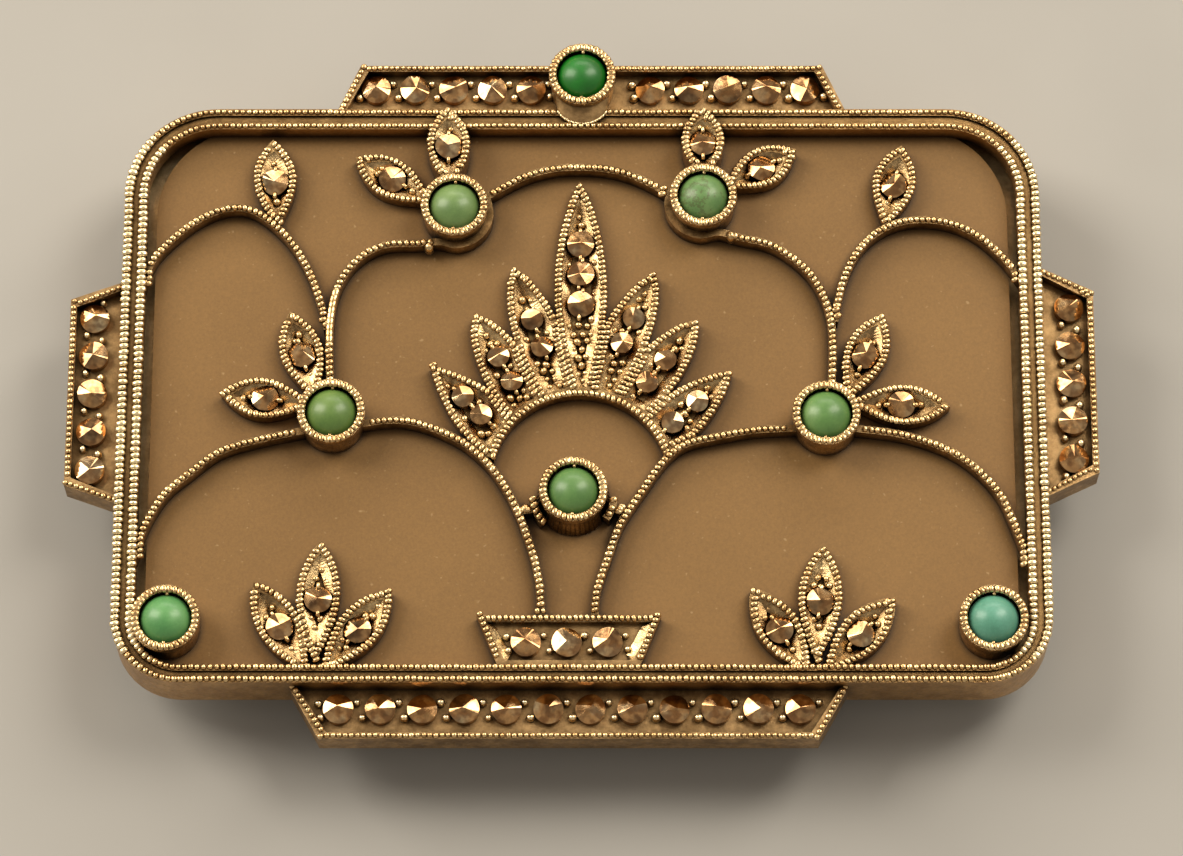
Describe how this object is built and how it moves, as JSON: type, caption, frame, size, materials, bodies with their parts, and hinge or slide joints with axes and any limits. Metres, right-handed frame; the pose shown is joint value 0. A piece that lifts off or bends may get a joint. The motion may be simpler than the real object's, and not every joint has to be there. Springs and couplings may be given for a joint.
{
  "type": "brooch",
  "caption": "Rectangular brooch: frosted plaque in a milgrained frame, overlaid with stems, leaves, a palmette and a basket, set with cabochons and marcasites, with a pin and catch.",
  "frame": {"origin": "middle of the brooch, on the surface that it lies on", "axes": "+X to the wearer's view right along the width, +Y to the top edge, +Z out of the front"},
  "size_m": [0.0488, 0.0345, 0.0065],
  "materials": {
    "milgrained_silver": "warm antique silver, bright on the milgrain and oxidised dark in the recesses",
    "plain_silver": "plain worn silver with tarnish in the corners",
    "pin_wire": "drawn nickel-silver wire, polished by use",
    "frosted_crystal": "frosted, satin, taupe, with faint specks",
    "marcasite": "faceted, metallic bronze grey, bright on some facets",
    "top_cabochon": "deep emerald green, waxy gloss",
    "upper_left_cabochon": "pale green, waxy gloss",
    "upper_right_cabochon": "green with brown veins, waxy gloss",
    "mid_left_cabochon": "mid green, waxy gloss",
    "mid_right_cabochon": "mid green, waxy gloss",
    "centre_cabochon": "mid green, waxy gloss",
    "lower_left_cabochon": "blue green, waxy gloss",
    "lower_right_cabochon": "turquoise blue green, waxy gloss"
  },
  "bodies": {
    "root": {"plaque": "frosted_crystal", "frame_band": "milgrained_silver", "back_frame": "plain_silver", "top_gallery": "milgrained_silver", "bottom_gallery": "milgrained_silver", "left_gallery": "milgrained_silver", "right_gallery": "milgrained_silver", "top_gallery_stones": "marcasite", "bottom_gallery_stones": "marcasite", "left_gallery_stones": "marcasite", "right_gallery_stones": "marcasite", "top_collet": "milgrained_silver", "upper_left_collet": "milgrained_silver", "upper_right_collet": "milgrained_silver", "mid_left_collet": "milgrained_silver", "mid_right_collet": "milgrained_silver", "centre_collet": "milgrained_silver", "lower_left_collet": "milgrained_silver", "lower_right_collet": "milgrained_silver", "top_cabochon": "top_cabochon", "upper_left_cabochon": "upper_left_cabochon", "upper_right_cabochon": "upper_right_cabochon", "mid_left_cabochon": "mid_left_cabochon", "mid_right_cabochon": "mid_right_cabochon", "centre_cabochon": "centre_cabochon", "lower_left_cabochon": "lower_left_cabochon", "lower_right_cabochon": "lower_right_cabochon", "centre_arch": "milgrained_silver", "left_shoulder": "milgrained_silver", "right_shoulder": "milgrained_silver", "left_outer_arch": "milgrained_silver", "right_outer_arch": "milgrained_silver", "left_lower_arch": "milgrained_silver", "right_lower_arch": "milgrained_silver", "left_vase_stem": "milgrained_silver", "right_vase_stem": "milgrained_silver", "collet_lugs": "milgrained_silver", "palmette": "milgrained_silver", "palmette_stones": "marcasite", "basket": "milgrained_silver", "basket_stones": "marcasite", "left_spray": "milgrained_silver", "right_spray": "milgrained_silver", "left_spray_stones": "marcasite", "right_spray_stones": "marcasite", "upper_left_leaves": "milgrained_silver", "upper_right_leaves": "milgrained_silver", "mid_left_leaves": "milgrained_silver", "mid_right_leaves": "milgrained_silver", "lone_left_leaf": "milgrained_silver", "lone_right_leaf": "milgrained_silver", "left_leaf_stones": "marcasite", "right_leaf_stones": "marcasite", "back_bar": "plain_silver", "pin_hinge": "plain_silver", "hinge_rivet": "plain_silver", "catch_housing": "plain_silver"},
    "pin": {"pin_stem": "pin_wire"},
    "catch": {"catch_rotor": "plain_silver"}
  },
  "joints": [
    {"name": "pin_hinge", "type": "hinge", "parent": "root", "child": "pin", "pos_m": [-0.0165, 0.004, 0.0013], "axis": [0, 1, 0], "range_deg": [0, 90]},
    {"name": "catch_turn", "type": "hinge", "parent": "root", "child": "catch", "pos_m": [0.016, 0.004, 0.0013], "axis": [-1, 0, 0], "range_deg": [0, 75]}
  ]
}
